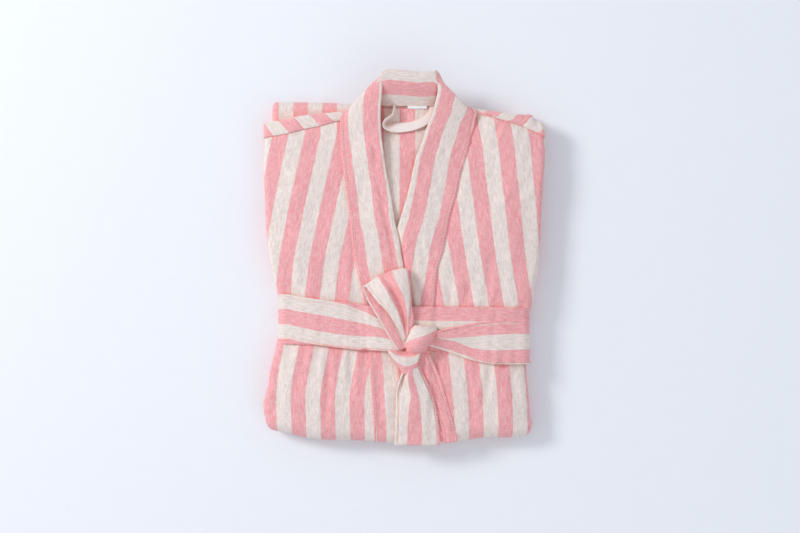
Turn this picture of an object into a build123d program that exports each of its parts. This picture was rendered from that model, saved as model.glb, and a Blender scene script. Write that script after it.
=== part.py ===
"""Striped cotton kimono bathrobe, folded into a flat bundle and tied with its own belt.

Units are millimetres. The bundle lies face up on the floor at z = 0: +Y points to the
collar, +X to the wearer's left. "Right" and "left" in the names are the wearer's.
"""

import os
from math import atan2, degrees

from build123d import *

# ---------------------------------------------------------------- driving dimensions
LAYER = 3.0  # one lofted layer of cloth in the bundle
LOWEST_LAYER = 4.5  # the layer on the floor, deep enough to take the belt
GAP = 0.3  # air between neighbouring layers
SHOULDER_Y = 165.0  # shoulder line at the two top corners
BOTTOM_Y = -228.0  # lowest point of the bottom fold
SKIRT_INSET = 12.0  # the folded skirt is narrower than the shoulders
HEM_Y = -170.0  # the hem lies inside, short of the bottom fold
FLAP_WIDTH = 130.0  # how far each side is folded in behind

BELT_WIDTH = 52.0
BELT_THICK = 1.2
STRAP_WIDTH = 9.0  # hanger loop
STRAP_THICK = 1.2
NECK_SEAM_Y = 185.5  # where the collar is sewn to the back
LOOP_SEAM_Y = 184.0  # where the hanger loop and the label are caught in that seam
STITCH = (4.0, 0.8, 0.3)  # length, width and height of one visible stitch
STITCH_PITCH = 8.0


def layer_low(number):
    """Underside of a layer: 0 is the one on the floor, 10 is the top one."""
    if number == 0:
        return 0.0
    return LOWEST_LAYER + GAP + (number - 1) * (LAYER + GAP)


def layer_high(number):
    return LOWEST_LAYER if number == 0 else layer_low(number) + LAYER


FLOOR_LAYER, BACK_LOWER, BACK_HEM, FRONT_HEM = 0, 1, 2, 3
SLEEVE_LOW, SLEEVE_HIGH, FRONT_FLAP, BACK_FLAP = 4, 5, 6, 7
BACK_TOP, UNDERLAP, OVERLAP = 8, 9, 10
TOP_Z = layer_high(OVERLAP)
INNER_Z = layer_high(BACK_TOP)  # inside of the back, seen through the neck

BELT_Z = TOP_Z + GAP  # first turn of the belt
BELT_END_Z = BELT_Z + BELT_THICK + GAP  # the ends cross over it to the knot
KNOT_Z = BELT_END_Z + BELT_THICK + GAP
BELT_GROOVE = 2 * (BELT_THICK + GAP)

# ---------------------------------------------------------------- outlines, seen from above
# Silhouette of the bundle, anticlockwise from the wearer's right shoulder. The belt draws it
# in at the waist.
OUTLINE = [
    (-172, SHOULDER_Y), (-172, 147), (-169, 70), (-163, 10), (-150, -40), (-150, -108),
    (-162, -165), (-172, -203), (-158, -215), (-90, -224), (-11, BOTTOM_Y), (44, -225),
    (70, -220), (156, -218), (152, -174), (147, -132), (150, -55), (163, -3),
    (169, 131), (172, 156), (172, SHOULDER_Y), (141, 176), (90, 182), (60, 190),
    (40, 190), (-28, 190), (-62, 184), (-127, 171),
]
SKIRT_TOP = [(-160, 192), (161, 178)]  # the skirt's upper fold shows behind the shoulders

# The shoulder seams lie on the front, a little below the shoulder fold.
SHOULDER_SEAM_RIGHT = [(-180, 147), (-141, 154), (-101, 163), (-60, 171)]
SHOULDER_SEAM_LEFT = [(80, 180), (130, 170), (151, 161), (180, 147)]

# Collar band: outer seam and free inner edge on each front, from the neck to the bottom fold.
SEAM_RIGHT = [(-72, 172), (-74, 131), (-66, 95), (-48, 9), (-40, -40), (-35, -113), (-25, -228),
              (-25, -240)]
EDGE_RIGHT = [(-28, 192), (-28, 162), (-17, 112), (-8, 70), (0, 27), (8, -5), (18, -113),
              (28, -228), (28, -240)]
SEAM_LEFT = [(92, 177), (80, 131), (69, 95), (58, 52), (50, -15), (46, -56), (48, -228), (48, -240)]
EDGE_LEFT = [(39, 192), (33, 162), (25, 143), (13, 107), (1, 70), (-6, -15), (-6, -240)]
# In the two folded-up thirds of the skirt the same seams run straight.
SKIRT_SEAM_RIGHT_X, SKIRT_EDGE_RIGHT_X, SKIRT_SEAM_LEFT_X = -25, 28, 48
NECK_SIDE_RIGHT = [(-26, 225), (-45, 204), (-62, 186), (-78, 176)]
NECK_SIDE_LEFT = [(41, 228), (59, 204), (75, 186), (92, 177)]

FAR = 400.0  # well outside the bundle


# ---------------------------------------------------------------- helpers
def prism(points, low, high):
    """Upright solid over a closed outline, from height low to height high."""
    corners = [point for number, point in enumerate(points) if point != points[number - 1]]
    with BuildSketch(Plane.XY.offset(low)) as sketch:
        with BuildLine():
            Polyline(*corners, close=True)
        make_face()
    return extrude(sketch.sketch, amount=high - low)


def block(x_low, x_high, y_low, y_high, z_low, z_high):
    size = (x_high - x_low, y_high - y_low, z_high - z_low)
    middle = ((x_low + x_high) / 2, (y_low + y_high) / 2, (z_low + z_high) / 2)
    return Pos(*middle) * Box(*size)


def drawn_in(points, side, bottom, top=0.0):
    """The outline moved inwards: its sides, its bottom fold and its top."""
    moved = []
    for x, y in points:
        x_new = x - side if x > 100 else x + side if x < -100 else x
        y_new = y + bottom if y < -205 else y - top if y > 140 else y
        moved.append((x_new, y_new))
    return moved


def between(left_line, right_line, low=-1.0, high=60.0):
    """Tall prism between two lines that both run from the top to the bottom."""
    return prism(left_line + right_line[::-1], low, high)


def left_of(line):
    return between([(-FAR, line[0][1]), (-FAR, line[-1][1])], line)


def right_of(line):
    return between(line, [(FAR, line[0][1]), (FAR, line[-1][1])])


def span(x_low, x_high):
    """Everything between two upright planes across the bundle."""
    return block(x_low, x_high, -FAR, FAR, -1, 60)


def shifted(line, dx):
    return [(x + dx, y) for x, y in line]


def below_shoulder_seams():
    """Tall prism over everything on the front side of the two shoulder seams."""
    line = SHOULDER_SEAM_RIGHT + SHOULDER_SEAM_LEFT
    return prism([(-FAR, -FAR), (FAR, -FAR), (FAR, 147)] + line[::-1] + [(-FAR, 147)], -1, 60)


def skirt_outline(inset=0.0):
    """Plan of the two lower thirds of the robe, folded up behind the top third."""
    lower = [(x, y) for x, y in OUTLINE if y < 100]
    narrow = [(x - SKIRT_INSET / 2 if x > 100 else x + SKIRT_INSET / 2 if x < -100 else x, y)
              for x, y in lower]
    top = [(x, y - inset) for x, y in SKIRT_TOP[::-1]]
    return drawn_in(narrow, inset, inset) + [(top[0][0] - inset, top[0][1]),
                                             (top[1][0] + inset, top[1][1])]


def folded_front(region_top, region_low, top_layer):
    """One front piece: top layer, bottom fold, lower layer, upper fold and hem layer."""
    top = prism(OUTLINE, layer_low(top_layer), layer_high(top_layer)) & below_shoulder_seams()
    fold_ring = (prism(OUTLINE, 0, layer_high(top_layer))
                 - prism(drawn_in(OUTLINE, 0, LAYER), -1, 60))
    fold_ring &= block(-FAR, FAR, -FAR, -200, -1, 60)
    lower = prism(skirt_outline(), 0, LOWEST_LAYER)
    upper_fold = (prism(skirt_outline(), 0, layer_high(FRONT_HEM))
                  - prism(skirt_outline(LAYER), -1, 60))
    upper_fold &= block(-FAR, FAR, 100, FAR, -1, 60)
    hem = prism(skirt_outline(), layer_low(FRONT_HEM), layer_high(FRONT_HEM))
    hem &= block(-FAR, FAR, HEM_Y, FAR, -1, 60)
    piece = (top & region_top) + (fold_ring & region_low) + (lower & region_low)
    piece += (upper_fold & region_low) + (hem & region_low)
    return piece - belt_groove()


def side_fold(side, front):
    """The side of the robe wrapped round the edge of the bundle and in behind it."""
    outset = 0.0 if front else LAYER + GAP
    outline = drawn_in(OUTLINE, outset, outset)
    flap_layer = FRONT_FLAP if front else BACK_FLAP
    top_layer = OVERLAP if front else BACK_TOP
    wall = (prism(outline, layer_low(flap_layer), layer_high(top_layer))
            - prism(drawn_in(outline, LAYER, 0), -1, 60))
    wall &= block(-FAR, FAR, -200, 145, -1, 60)
    flap = prism(outline, layer_low(flap_layer), layer_high(flap_layer))
    flap &= block(-FAR, FAR, -200, 145, -1, 60)
    inner = 172 - FLAP_WIDTH
    keep = block(-FAR, -inner, -FAR, FAR, -1, 60) if side < 0 else block(inner, FAR, -FAR, FAR, -1, 60)
    return (wall + flap) & keep


def belt_groove():
    """The hollow that the tight belt presses into the underside."""
    return block(-FAR, FAR, -134, -40, -1, BELT_GROOVE + GAP)


def rounded_prism(points, low, high, radius):
    solid = prism(points, low, high)
    return fillet(solid.faces().sort_by(Axis.Z)[-1].edges(), radius)


def stitches(route, z_low):
    """Rows of separate stitches along the straight runs between points, at height z_low."""
    length, width, height = STITCH
    row = []
    for start, end in zip(route[:-1], route[1:]):
        run = Vector(*end) - Vector(*start)
        angle = degrees(atan2(run.Y, run.X))
        for number in range(int(run.length / STITCH_PITCH)):
            point = Vector(*start) + run * ((number + 0.5) * STITCH_PITCH / run.length)
            place = Pos(point.X, point.Y, z_low + height / 2) * Rot(0, 0, angle)
            row.append(place * Box(length, width, height))
    return row


# ---------------------------------------------------------------- cloth panels
def back_panel():
    """Back of the robe, one width of cloth: it rolls over both shoulders to the front seams."""
    step = LAYER + GAP
    plan = drawn_in(OUTLINE, step, step)
    top = prism(plan, layer_low(BACK_TOP), layer_high(BACK_TOP))
    skirt = skirt_outline(step)
    lower = prism(skirt, layer_low(BACK_LOWER), layer_high(BACK_LOWER))
    bottom_fold = (prism(plan, layer_low(BACK_LOWER), layer_high(BACK_TOP))
                   - prism(drawn_in(plan, 0, LAYER), -1, 60))
    bottom_fold &= block(-150, 150, -FAR, -200, -1, 60)
    skirt_inner = skirt_outline(step + LAYER)
    upper_fold = (prism(skirt, layer_low(BACK_LOWER), layer_high(BACK_HEM))
                  - prism(skirt_inner, -1, 60)) & block(-FAR, FAR, 100, FAR, -1, 60)
    hem = prism(skirt, layer_low(BACK_HEM), layer_high(BACK_HEM))
    hem &= block(-FAR, FAR, HEM_Y, FAR, -1, 60)
    shoulder = prism(OUTLINE, layer_low(BACK_TOP), TOP_Z) - below_shoulder_seams()
    shoulder -= block(NECK_SIDE_RIGHT[-1][0] - GAP, NECK_SIDE_LEFT[-1][0] + GAP, 100, FAR, -1, 60)
    sides = side_fold(-1, front=False) + side_fold(1, front=False)
    return top + lower + bottom_fold + upper_fold + hem + shoulder + sides


def front_panel_right():
    """Right front, from the side fold to the collar seam. It laps over the left front."""
    region = left_of([(-78, 240)] + shifted(SEAM_RIGHT, -GAP))
    piece = folded_front(region, span(-FAR, SKIRT_SEAM_RIGHT_X - GAP), OVERLAP)
    return piece + side_fold(-1, front=True)


def front_panel_left():
    """Left front, from the collar seam to the side fold."""
    region = right_of([(93, 240)] + shifted(SEAM_LEFT, GAP))
    piece = folded_front(region, span(SKIRT_SEAM_LEFT_X + GAP, FAR), OVERLAP)
    return piece + side_fold(1, front=True)


def neck_stand(x_low, x_high):
    """The band standing up behind the neck and leaning back."""
    with BuildSketch(Plane.YZ.offset(x_low)) as sketch:
        with BuildLine():
            Polyline((NECK_SEAM_Y, INNER_Z + GAP), (NECK_SEAM_Y + 5, INNER_Z + GAP),
                     (229, 45), (226, 49), close=True)
        make_face()
    return extrude(sketch.sketch, amount=x_high - x_low)


def collar_band(side):
    """Half of the doubled collar band: neck, front edge, bottom fold, hem and back up."""
    if side < 0:
        region = between(SEAM_RIGHT, EDGE_RIGHT)
        low_region, top_layer = span(SKIRT_SEAM_RIGHT_X, SKIRT_EDGE_RIGHT_X), OVERLAP
        neck = prism(NECK_SIDE_RIGHT + SEAM_RIGHT[:1] + [(-28, 160)], INNER_Z + GAP, TOP_Z + 3)
        stand = neck_stand(-30, 7)
    else:
        region = between(EDGE_LEFT, SEAM_LEFT)
        low_region, top_layer = span(SKIRT_EDGE_RIGHT_X + GAP, SKIRT_SEAM_LEFT_X), UNDERLAP
        neck = prism(NECK_SIDE_LEFT + SEAM_LEFT[:1] + [(33, 160)], INNER_Z + GAP, TOP_Z + 3)
        stand = neck_stand(7 + GAP, 43)
    band = folded_front(region, low_region, top_layer) + neck + stand
    if side > 0:  # the underlap stops short of the right band's bottom fold
        band -= block(-FAR, SKIRT_EDGE_RIGHT_X + GAP, -FAR, BOTTOM_Y + LAYER + 3, -1, 60)
    return band


def sleeve(side):
    """A wide straight sleeve laid flat behind the body: two layers joined along both sides."""
    x_low, x_high = (-147, -7) if side < 0 else (7, 143)
    tube = block(x_low, x_high, -190, 140, layer_low(SLEEVE_LOW), layer_high(SLEEVE_HIGH))
    inside = block(x_low + LAYER, x_high - LAYER, -FAR, 140 - LAYER,
                   layer_high(SLEEVE_LOW), layer_low(SLEEVE_HIGH))
    return tube - inside


def belt_carrier(side):
    """A narrow loop of cloth on the side seam that keeps the belt up in wear."""
    middle = side * (172 - FLAP_WIDTH - 5)
    return block(middle - 4, middle + 4, -175, -115, layer_low(FRONT_FLAP), layer_high(FRONT_FLAP) - 1)


# ---------------------------------------------------------------- belt
def belt_first_turn():
    """Middle of the belt: across the front and round both edges of the bundle."""
    front = prism([(-151, -53), (151, -60), (151, -60 - BELT_WIDTH), (-151, -53 - BELT_WIDTH)],
                  BELT_Z, BELT_Z + BELT_THICK)
    right = block(-151.6, -150.4, -53 - BELT_WIDTH, -53, BELT_THICK + GAP, BELT_Z + BELT_THICK)
    left = block(150.4, 151.6, -60 - BELT_WIDTH, -60, BELT_THICK + GAP, BELT_Z + BELT_THICK)
    return front + right + left


def belt_first_turn_under():
    """The same turn of the belt where it crosses itself behind the bundle."""
    low = BELT_THICK + GAP
    return prism([(-150, -53), (150, -60), (150, -60 - BELT_WIDTH), (-150, -53 - BELT_WIDTH)],
                 low, low + BELT_THICK)


def belt_end_right():
    """The end that comes round the wearer's right edge and over the front to the knot."""
    front = prism([(-153.4, -44), (-84, -55), (-49, -67), (-23, -87), (-20, -112), (-62, -110),
                   (-116, -102), (-153.4, -96)], BELT_END_Z, BELT_END_Z + BELT_THICK)
    wall = block(-153.4, -152.2, -96, -44, 0, BELT_END_Z + BELT_THICK)
    under = block(-153.4, -GAP, -96, -44, 0, BELT_THICK)
    return front + wall + under


def belt_end_left():
    """The end that comes round the wearer's left edge and narrows into the knot."""
    front = prism([(32, -103), (39, -92), (107, -79), (153.4, -76), (153.4, -128), (88, -125),
                   (58, -113)], BELT_END_Z, BELT_END_Z + BELT_THICK)
    wall = block(152.2, 153.4, -128, -76, 0, BELT_END_Z + BELT_THICK)
    under = block(GAP, 153.4, -128, -76, 0, BELT_THICK)
    return front + wall + under


def knot_wrap():
    """Upper half of the knot: the turn that goes slantwise over it."""
    outline = [(2, -102), (1, -95), (6, -87), (15, -84), (23, -81), (40, -88), (37, -95),
               (29, -103), (24, -112), (15, -118)]
    return rounded_prism(outline[::-1], KNOT_Z, KNOT_Z + 15, 3)


def knot_bight():
    """Lower half of the knot: the bend that the front tail hangs out of."""
    outline = [(-19, -113), (-3, -119.5), (14, -119.5), (18, -126), (8, -142), (1, -141), (-7, -131),
               (-16, -122)]
    return rounded_prism(outline[::-1], KNOT_Z, KNOT_Z + 11, 3)


def bow_loop():
    """The single loop of the half bow, flattened, pointing up and to the wearer's right."""
    outline = [(4, -84), (13, -75), (13, -62), (7, -24), (0, -12), (-27, -20), (-50, -35),
               (-37, -68), (-22, -92)]
    return rounded_prism(outline[::-1], KNOT_Z, KNOT_Z + 5, 1.5)


def belt_tail_front():
    """The wide end of the belt that hangs out of the knot over the front."""
    return prism([(-3, -146), (26, -146), (33, -165), (38, -182), (43, -203), (43, -229),
                  (-11, -229), (-10, -186), (-6, -156)][::-1], BELT_END_Z, BELT_END_Z + 1.8)


def belt_tail_back():
    """The narrow, folded end of the belt, beside and behind the front tail."""
    return prism([(23, -133), (35, -129), (43, -145), (49, -160), (55, -182), (61, -203), (66, -226),
                  (46, -226), (45, -203), (40, -182), (35.5, -165), (28, -146)][::-1],
                 BELT_Z, BELT_Z + 1.8)


# ---------------------------------------------------------------- neck fittings
def hanger_loop():
    """Flat strap sewn into the neck seam at both ends, lying inside the neck."""
    with BuildLine() as path:
        FilletPolyline((-12, LOOP_SEAM_Y), (-20, 170), (-17, 156), (3, 152), (20, 157), (28, 172),
                       (30, LOOP_SEAM_Y), radius=6)
    strap = Pos(0, 0, INNER_Z + 0.8) * extrude(trace(path.line, STRAP_WIDTH), amount=STRAP_THICK)
    return strap - block(-FAR, FAR, LOOP_SEAM_Y, FAR, 0, 60)


def neck_label():
    """Small woven label, sewn in along its upper edge. It carries no text."""
    return block(4, 23, LOOP_SEAM_Y - 6, LOOP_SEAM_Y, INNER_Z + 0.1, INNER_Z + 0.5)


# ---------------------------------------------------------------- sewing thread
def collar_topstitch():
    """Stitching on the panel side of both collar seams, above and below the belt."""
    rows = []
    for line, offset in ((SEAM_RIGHT, -3), (SEAM_LEFT, 3)):
        above = shifted(line, offset)[1:-2]
        rows += stitches(above, TOP_Z)
    rows += stitches(shifted([(-34, -120), (-27, -215)], -3), TOP_Z)
    return rows


def shoulder_topstitch():
    """Stitching beside both shoulder seams, on the back panel's side."""
    right = [(x, y + 3) for x, y in SHOULDER_SEAM_RIGHT[:3]]
    right[0] = (-168, right[0][1] + 2)
    left = [(x, y + 3) for x, y in SHOULDER_SEAM_LEFT[1:3]]
    left.insert(0, (100, 179))
    return stitches(right, TOP_Z) + stitches(left, TOP_Z)


def belt_topstitch():
    """Stitching along the upper edge of the belt's first turn, left of the knot."""
    return stitches([(48, -60.5), (146, -63)], BELT_Z + BELT_THICK)


def neck_overlock_thread():
    """Overlocked thread over the raw edge of the neck seam."""
    return stitches([(-26, NECK_SEAM_Y - 0.8), (2, NECK_SEAM_Y - 0.8)], INNER_Z)


def main():
    os.makedirs("parts", exist_ok=True)
    nodes = {
        "back_panel": back_panel(),
        "front_panel_right": front_panel_right(),
        "front_panel_left": front_panel_left(),
        "collar_band_right": collar_band(-1),
        "collar_band_left": collar_band(1),
        "sleeve_right": sleeve(-1),
        "sleeve_left": sleeve(1),
        "belt_carrier_right": belt_carrier(-1),
        "belt_carrier_left": belt_carrier(1),
        "belt_first_turn": belt_first_turn(),
        "belt_first_turn_under": belt_first_turn_under(),
        "belt_end_right": belt_end_right(),
        "belt_end_left": belt_end_left(),
        "knot_wrap": knot_wrap(),
        "knot_bight": knot_bight(),
        "bow_loop": bow_loop(),
        "belt_tail_front": belt_tail_front(),
        "belt_tail_back": belt_tail_back(),
        "hanger_loop": hanger_loop(),
        "neck_label": neck_label(),
        "collar_topstitch": collar_topstitch(),
        "shoulder_topstitch": shoulder_topstitch(),
        "belt_topstitch": belt_topstitch(),
        "neck_overlock_thread": neck_overlock_thread(),
    }
    for name, shape in nodes.items():
        solids = shape if isinstance(shape, list) else shape.solids()
        body = Compound(children=list(solids)) if len(solids) > 1 else solids[0]
        export_step(body, f"parts/{name}.step")
        print(name, len(solids), round(sum(solid.volume for solid in solids)))


main()
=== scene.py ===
import math

import bpy
import numpy as np
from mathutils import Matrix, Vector


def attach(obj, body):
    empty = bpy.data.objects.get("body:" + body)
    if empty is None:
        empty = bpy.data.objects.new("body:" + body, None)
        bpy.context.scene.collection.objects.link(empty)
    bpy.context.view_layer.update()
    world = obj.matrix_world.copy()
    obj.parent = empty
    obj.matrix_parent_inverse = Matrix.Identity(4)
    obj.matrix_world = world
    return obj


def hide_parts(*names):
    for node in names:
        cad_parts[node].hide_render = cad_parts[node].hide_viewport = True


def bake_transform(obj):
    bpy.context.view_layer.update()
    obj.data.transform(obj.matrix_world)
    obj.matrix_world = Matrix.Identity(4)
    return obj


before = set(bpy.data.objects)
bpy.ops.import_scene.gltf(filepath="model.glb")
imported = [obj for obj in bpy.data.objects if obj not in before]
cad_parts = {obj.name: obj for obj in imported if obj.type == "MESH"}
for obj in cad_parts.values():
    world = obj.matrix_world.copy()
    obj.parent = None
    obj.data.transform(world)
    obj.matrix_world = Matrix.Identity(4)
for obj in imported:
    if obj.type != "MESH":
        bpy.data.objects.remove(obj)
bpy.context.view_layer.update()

# All shapes are worked out in millimetres in the row frame: +Y to the collar, +Z up.
MM = 0.001
TOP = 37.0  # height of the bundle's upper face
BACK_DROP = 4.2  # the inside of the back lies this far under the front
STRIPE = 19.0  # width of one stripe
CLOTH = 1.1  # thickness of one layer of cloth
BAND_THICK = 2.4  # the collar band and the belt are doubled
BELT_THICK = 1.9
SIDE_RADIUS = 5.6  # roundness of the folded side edges
SKIRT_RADIUS = 10.4  # roundness of the skirt's upper fold
HEM_Z = 21.0
HEM_Y = -170.0
FLAP_END = 42.0  # the folded-in sides reach this far from the middle
STEP = 2.6  # spacing of the mesh where cloth shows
BELT_WIDTH = 52.0
WARP_PITCH, WEFT_PITCH = 0.00085, 0.00095  # the weave, in metres
SEAM_ALLOWANCE = 5.0  # the fronts run this far under the collar band
FRONT_TOP_Y = 190.0  # where the front's stations start
FRONT_LOW_Y = -209.0  # about where the front turns under at the bottom fold
SIDE_OF_BELT = 150.0  # half the bundle's width where the belt goes round it
SIDE_CURVE = 11.0  # radius of the belt's bends at the sides


# ------------------------------------------------------------------ numbers and curves
def smooth(t):
    t = np.clip(t, 0.0, 1.0)
    return t * t * (3 - 2 * t)


def spline(points):
    """Smooth function through (x, value) points; values may be vectors."""
    points = sorted(points, key=lambda p: p[0])
    xs = np.array([p[0] for p in points], float)
    ys = np.array([np.atleast_1d(p[1]) for p in points], float)
    if len(xs) > 2:
        slopes = np.gradient(ys, xs, axis=0)
    else:
        slopes = np.repeat(np.diff(ys, axis=0) / np.diff(xs)[:, None], 2, 0)

    def value(x):
        x = np.asarray(x, float)
        flat = np.clip(x.ravel(), xs[0], xs[-1])
        i = np.clip(np.searchsorted(xs, flat) - 1, 0, len(xs) - 2)
        h = xs[i + 1] - xs[i]
        t = ((flat - xs[i]) / h)[:, None]
        h = h[:, None]
        out = ((1 + 2 * t) * (1 - t) ** 2 * ys[i] + t * (1 - t) ** 2 * h * slopes[i]
               + t * t * (3 - 2 * t) * ys[i + 1] + t * t * (t - 1) * h * slopes[i + 1])
        return out[:, 0].reshape(x.shape) if ys.shape[1] == 1 else out.reshape(x.shape + (ys.shape[1],))

    return value


def distances(line):
    """How far each point of a line is from its first point, measured along it."""
    return np.concatenate([[0], np.cumsum(np.linalg.norm(np.diff(line, axis=0), axis=1))])


def across_rows(grid):
    """How far each point of a grid is from the first point of its row."""
    steps = np.linalg.norm(np.diff(grid, axis=1), axis=2)
    return np.concatenate([np.zeros((len(grid), 1)), np.cumsum(steps, axis=1)], axis=1)


def unit(vectors):
    return vectors / np.maximum(np.linalg.norm(vectors, axis=-1, keepdims=True), 1e-9)


def on_cloth(across, down):
    """Places on the flat cloth, from the places of the columns and of the rows."""
    return np.stack(np.broadcast_arrays(across, down), axis=-1)


def flipped(*grids):
    """The same grids with their columns in the opposite order, so that they face the other way."""
    return [grid[:, ::-1] for grid in grids]


def along(points, count):
    """count points evenly spaced along a smooth curve through the given points."""
    points = np.array(points, float)
    lengths = distances(points)
    curve = spline(list(zip(lengths, points)))
    return curve(np.linspace(0, lengths[-1], count))


def ripples(seed, length, stretch=(1.0, 1.0), count=18):
    """Smooth seeded noise of about unit height; stretch lengthens it along x or y."""
    rng = np.random.default_rng(seed)
    angle = rng.uniform(0, 2 * math.pi, count)
    size = 2 * math.pi / (length * rng.uniform(0.6, 1.5, count))
    phase = rng.uniform(0, 2 * math.pi, count)
    kx, ky = size * np.cos(angle) / stretch[0], size * np.sin(angle) / stretch[1]

    def value(x, y):
        total = sum(np.cos(kx[i] * x + ky[i] * y + phase[i]) for i in range(count))
        return total / math.sqrt(count / 2)

    return value


# ------------------------------------------------------------------ the bundle's outlines
left_edge = spline([(168, -170), (150, -171), (102, -169), (70, -168), (30, -165), (3, -162),
                    (-26, -155.5), (-44, -152), (-60, -149.5), (-90, -149.5), (-106, -155),
                    (-125, -159), (-142, -163), (-161, -165), (-178, -168.5), (-197, -171.5),
                    (-207, -170), (-222, -160)])
right_edge = spline([(160, 171), (131, 169.5), (102, 168), (70, 166.5), (30, 165), (3, 163),
                     (-21, 158.5), (-45, 156), (-64, 151), (-110, 149.5), (-130, 148.5),
                     (-154, 150.5), (-178, 152.5), (-197, 153.5), (-211, 155.5), (-225, 155.5)])
bottom_edge = spline([(-175, -208), (-157, -212), (-137, -216.5), (-106, -222), (-67, -223),
                      (-17, -226), (45, -226), (77, -223), (101, -219.5), (125, -220),
                      (155, -218.5), (175, -216)])
skirt_edge = spline([(-175, 191), (-80, 189.5), (0, 184), (90, 179), (113, 177.5), (158, 174.5),
                     (175, 172)])
seam_right = spline([(172, -78), (139, -77), (102, -73.5), (59, -67.5), (18, -62.5), (-8, -59.5),
                     (-33, -53), (-55, -48.5), (-113, -43), (-154, -40), (-190, -38),
                     (-228, -35.5)])
inner_right = spline([(172, -29), (155, -28.8), (141, -27.2), (122, -24.6), (102, -21.6),
                      (83, -18.0), (64, -14.5), (47, -12.0), (30, -8.5), (16, -5.6), (-6, -2.2),
                      (-60, 8), (-113, 12.5), (-228, 19.5)])
seam_left = spline([(177, 90.6), (165, 87), (139, 79.7), (122, 74.9), (102, 68.9), (78, 64.1),
                    (54, 56.8), (30, 52), (6, 47.2), (-11, 41.5), (-28, 39.2), (-60, 36.8),
                    (-113, 33), (-228, 30)])
inner_left = spline([(176, 36), (165, 31), (146, 24.3), (131, 19), (119, 14.6), (107, 11.7),
                     (93, 8.6), (78, 5), (64, 0.9), (47, -4.2), (35, -8.8), (0, -16), (-60, -20),
                     (-228, -24)])
shoulder_right = spline([(-175, 146), (-160, 148.5), (-140, 152), (-121, 157), (-102, 161),
                         (-84, 166), (-60, 172)])
shoulder_left = spline([(76, 183), (92, 177.5), (113, 170), (130, 165), (150, 158), (165, 151.5),
                        (175, 146)])
shoulder_top = spline([(-175, 165), (-159, 167), (-147, 168), (-130, 172.5), (-108, 175.5),
                       (-91, 177), (-60, 180), (60, 186), (80, 184), (95, 181), (113, 178.5),
                       (130, 176), (146, 174.6), (157, 173.4), (161, 168.5), (168, 166),
                       (175, 156)])
belt_middle = spline([(-155, -72), (-84, -80), (0, -86), (90, -92), (155, -96)])
band_end_right = float(inner_right(FRONT_LOW_Y))  # the right band's free edge at the bottom fold
COLLAR_STITCHES = []  # lines of stitches, filled as the pieces are made
BELT_STITCHES = []

big = ripples(3, 120.0)
middle = ripples(5, 46.0, (0.8, 1.6))
small = ripples(8, 19.0, (0.8, 1.8))
fine = ripples(11, 8.0)

# Creases pressed into the front: both ends, depth and half width in millimetres.
CREASES = [
    (-92, -108, -97, -215, 1.7, 3.6), (-62, -110, -67, -170, 1.2, 4.0),
    (-122, -104, -131, -165, 1.1, 4.5),
    (-34, -118, -27, -215, 1.3, 4.0), (77, -128, 83, -215, 1.2, 4.0), (104, -130, 98, -185, 1.3, 4.0),
    (126, -130, 134, -180, 1.0, 4.5), (-102, -52, -97, -12, 1.2, 4.5), (-62, -62, -58, 4, 1.1, 4.0),
    (-134, -46, -143, 6, 1.0, 5.0), (75, -60, 79, -24, 1.6, 3.4), (104, -62, 100, -20, 1.1, 4.5),
    (131, -62, 137, -14, 1.1, 4.5), (57, -58, 52, -30, 1.2, 3.4), (66, 141, 112, 131, 1.2, 3.2),
    (104, 137, 142, 118, 1.1, 3.6), (108, 150, 124, 166, 1.0, 3.0), (-29, 72, -14, 10, 0.9, 2.2),
    (-22, 40, -9, -10, 0.9, 2.0), (-40, 138, -28, 114, 0.9, 2.4), (44, 136, 66, 118, 1.1, 2.6),
    (26, 92, 40, 66, 0.9, 2.6), (-158, 120, -138, 84, 0.9, 4.5), (-116, 62, -104, 22, 0.8, 4.0),
    (148, 96, 130, 60, 0.9, 4.5), (16, 30, 30, -20, 0.9, 3.0), (-150, -120, -156, -190, 1.1, 4.0),
]


def creases(x, y):
    total = 0.0
    for x0, y0, x1, y1, depth, width in CREASES:
        length = math.hypot(x1 - x0, y1 - y0)
        ux, uy = (x1 - x0) / length, (y1 - y0) / length
        far = (x - x0) * ux + (y - y0) * uy
        off = (x - x0) * -uy + (y - y0) * ux + 1.6 * np.sin(far / length * 5.0 + x0)
        fade = smooth(far / length * 3.0 + 0.15) * smooth((1.0 - far / length) * 3.0 + 0.1)
        total = total - depth * fade * (np.exp(-((off / width) ** 2))
                                        - 0.55 * np.exp(-(((np.abs(off) - 2.1 * width) / width) ** 2)))
    return total


def hollow_under_belt(x, y):
    """1 under the belt, falling to 0 away from it."""
    return np.exp(-(((y - belt_middle(x)) / 34.0) ** 4))


def base_height(x, y):
    """Upper face of the bundle without its wrinkles."""
    to_left = np.maximum(x - left_edge(y), 0)
    to_right = np.maximum(right_edge(y) - x, 0)
    to_bottom = np.maximum(y - bottom_edge(x), 0)
    height = TOP - 4.0 * np.exp(-((to_left / 22.0) ** 2)) - 4.0 * np.exp(-((to_right / 22.0) ** 2))
    height -= 3.0 * np.exp(-((to_bottom / 26.0) ** 2)) + 2.2 * smooth((y - 120) / 60.0)
    height -= 3.5 * np.clip((x - 45) / 105.0, 0, 1) ** 1.3 * smooth((-60 - y) / 90.0)
    height -= 2.4 * np.exp(-(((x - 36) / 20.0) ** 2) - ((y + 126) / 15.0) ** 2)
    return height - 2.6 * hollow_under_belt(x, y)


def wrinkles(x, y):
    calm_chest = 0.45 * smooth((-50 - x) / 40.0) * smooth(y / 50.0)
    loose = (1 - 0.75 * hollow_under_belt(x, y)) * (1 - calm_chest)
    near_belt = np.exp(-(((y - belt_middle(x)) / 62.0) ** 2))
    return loose * (0.7 * big(x, y) + 0.34 * middle(x, y) + 0.2 * small(x, y) + creases(x, y)
                    + 0.75 * near_belt * small(x * 1.1 + 40, y * 0.4) + 0.07 * fine(x, y))


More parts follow.
